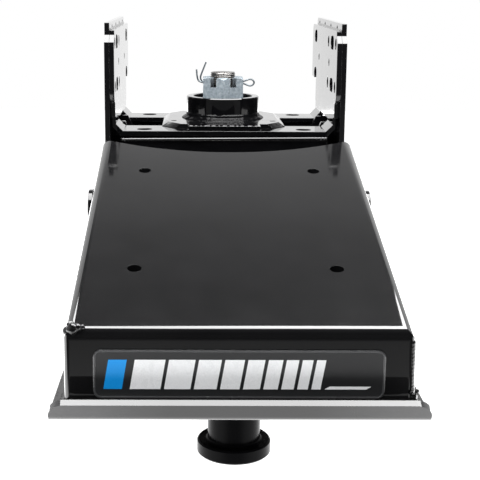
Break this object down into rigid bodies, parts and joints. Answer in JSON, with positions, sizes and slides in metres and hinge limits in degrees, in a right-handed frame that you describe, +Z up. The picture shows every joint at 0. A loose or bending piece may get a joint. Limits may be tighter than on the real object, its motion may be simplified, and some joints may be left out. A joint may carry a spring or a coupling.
{
  "type": "pivoting fifth wheel pin box",
  "caption": "Pivoting fifth wheel pin box: a wedge-shaped arm with a kingpin under its front swings on a turret bracket with slotted trailer wings.",
  "frame": {"origin": "on the kingpin axis, at the underside of the skid plate", "axes": "+Z up along the kingpin and the turret axis, +Y from the kingpin back to the turret and the trailer, +X to the right seen from the truck"},
  "size_m": [0.33, 0.8761, 0.396],
  "materials": {
    "arm_powder_coat": "satin black powder coat",
    "bracket_gloss": "gloss black enamel",
    "kingpin_black": "satin black over forged steel",
    "turned_steel": "turned steel, lightly oiled",
    "zinc_plate": "zinc plated, slightly blue",
    "bearing_bronze": "oiled bearing bronze",
    "bearing_plastic": "natural low-friction plastic",
    "badge_film": "dark grey film decal"
  },
  "bodies": {
    "bracket": {"bearing_housing": "bracket_gloss", "bushing_lower": "bearing_bronze", "bushing_upper": "bearing_bronze", "thrust_washer": "bearing_bronze", "grease_fitting": "zinc_plate", "turret_base_plate": "bracket_gloss", "crossmember_front": "bracket_gloss", "crossmember_rear": "bracket_gloss", "cradle": "bracket_gloss", "cap_plate": "bracket_gloss", "wing_plate_left": "bracket_gloss", "wing_plate_right": "bracket_gloss", "corner_gussets": "bracket_gloss"},
    "arm": {"arm_shell": "arm_powder_coat", "skid_plate": "arm_powder_coat", "belly_plate": "arm_powder_coat", "rear_wall": "arm_powder_coat", "arch_wall": "arm_powder_coat", "turntable_plate": "arm_powder_coat", "long_ribs": "arm_powder_coat", "bulkheads": "arm_powder_coat", "cross_tube": "arm_powder_coat", "kingpin": "kingpin_black", "kingpin_doubler": "arm_powder_coat", "spindle": "turned_steel", "spindle_gussets": "arm_powder_coat", "thrust_ring": "bearing_plastic", "nut_washer": "zinc_plate", "castle_nut": "zinc_plate", "cotter_pin": "zinc_plate", "badge_plate": "badge_film", "wedge_bolts": "zinc_plate", "wedge_washers": "zinc_plate", "wedge_weld_nuts": "zinc_plate"},
    "wedge": {"wedge": "arm_powder_coat"}
  },
  "joints": [
    {"name": "turret_swing", "type": "hinge", "parent": "bracket", "child": "arm", "pos_m": [0, 0.559, 0.1], "axis": [0, 0, 1], "range_deg": [-90, 90]},
    {"name": "wedge_adjust", "type": "slide", "parent": "arm", "child": "wedge", "axis": [0, 1, 0], "range_m": [-0.01, 0.01]}
  ]
}
